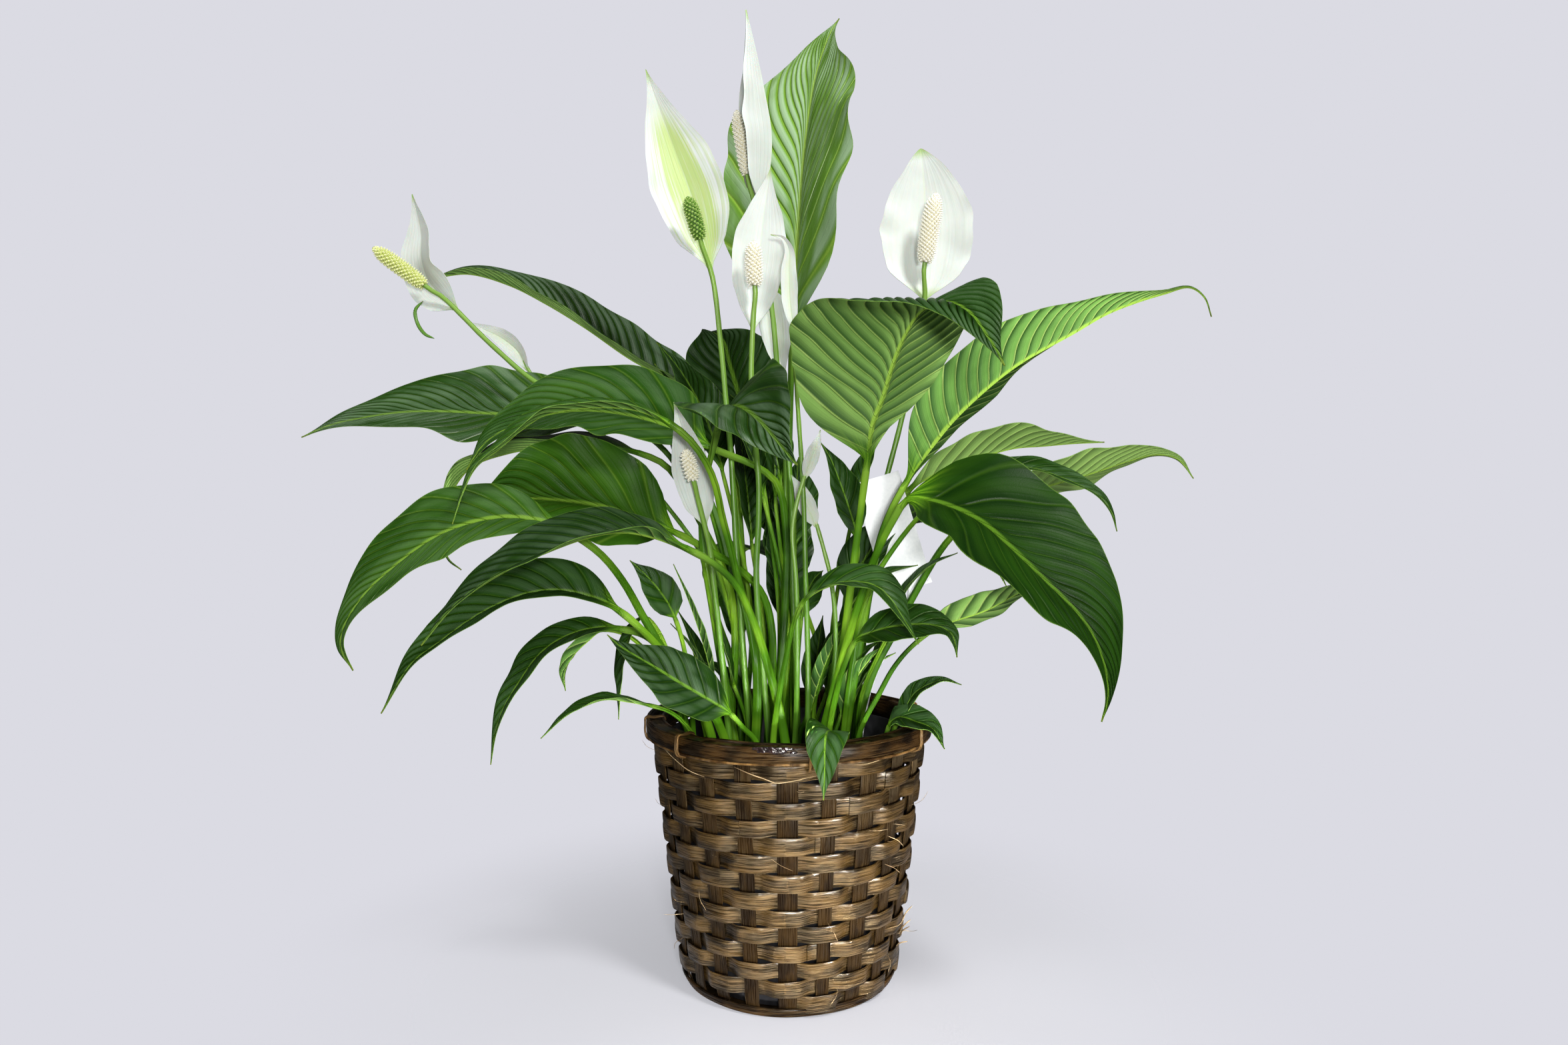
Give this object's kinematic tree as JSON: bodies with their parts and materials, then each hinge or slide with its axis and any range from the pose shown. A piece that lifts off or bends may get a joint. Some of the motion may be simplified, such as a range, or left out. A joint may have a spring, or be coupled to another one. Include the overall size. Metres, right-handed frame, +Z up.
{
  "type": "potted plant",
  "caption": "Potted peace lily with arching glossy leaves and white hooded blooms, its nursery pot set in a round woven bamboo basket.",
  "frame": {"origin": "middle of the basket's flat underside, on the surface it stands on", "axes": "+Z up, -Y towards the viewer of the picture, +X to the right in the picture"},
  "size_m": [0.7602, 0.4341, 0.8445],
  "materials": {
    "leaf": "living leaf, waxy deep green above and paler matt green below",
    "young_leaf": "living young leaf, waxy green",
    "bloom_stalk": "living stalk, smooth bright green",
    "spadix": "living, cream florets",
    "spadix_green": "living, green florets",
    "spathe": "living white hood, satin",
    "spathe_green": "living hood, white with a green middle",
    "bud": "living, white hood on a green stalk",
    "bamboo": "stained and varnished bamboo strip",
    "bamboo_dark": "dark stained bamboo",
    "cane": "varnished cane",
    "black_plastic": "thin black nursery pot",
    "peat": "loose moist potting soil",
    "white_card": "bare coated card"
  },
  "bodies": {
    "root": {"basket_stakes": "bamboo_dark", "basket_weaver": "bamboo", "bloom_far_left_spadix": "spadix", "bloom_far_left_spathe": "spathe", "bloom_far_left_stalk": "bloom_stalk", "bloom_green_spadix": "spadix_green", "bloom_green_spathe": "spathe_green", "bloom_green_stalk": "bloom_stalk", "bloom_low_left_spadix": "spadix", "bloom_low_left_spathe": "spathe", "bloom_low_left_stalk": "bloom_stalk", "bloom_middle_spadix": "spadix", "bloom_middle_spathe": "spathe", "bloom_middle_stalk": "bloom_stalk", "bloom_right_spadix": "spadix", "bloom_right_spathe": "spathe", "bloom_right_stalk": "bloom_stalk", "bloom_spent_back": "bud", "bloom_spent_left": "bud", "bloom_top_spadix": "spadix", "bloom_top_spathe": "spathe", "bloom_top_stalk": "bloom_stalk", "bud_rolled": "bud", "bud_small_lower": "bud", "bud_small_upper": "bud", "foot_hoop": "bamboo", "grow_pot": "black_plastic", "leaf_back": "leaf", "leaf_far_left": "leaf", "leaf_front_arch": "leaf", "leaf_front_folded": "leaf", "leaf_front_glossy": "leaf", "leaf_front_low": "leaf", "leaf_left_arched": "leaf", "leaf_left_broad": "leaf", "leaf_left_dark": "leaf", "leaf_left_drooping": "leaf", "leaf_left_high": "leaf", "leaf_left_long": "leaf", "leaf_left_low": "leaf", "leaf_left_narrow": "leaf", "leaf_left_shaded": "leaf", "leaf_right_arch": "leaf", "leaf_right_dark": "leaf", "leaf_right_front": "leaf", "leaf_right_high": "leaf", "leaf_right_narrow": "leaf", "leaf_right_pale": "leaf", "leaf_right_round": "leaf", "leaf_top": "leaf", "leaf_upper_left": "leaf", "leaves_young_back": "young_leaf", "leaves_young_left": "young_leaf", "leaves_young_rim": "young_leaf", "plant_tag": "white_card", "rim_hoop_inner": "bamboo_dark", "rim_hoop_outer": "bamboo", "rim_lashing": "cane", "soil": "peat"}
  },
  "joints": []
}
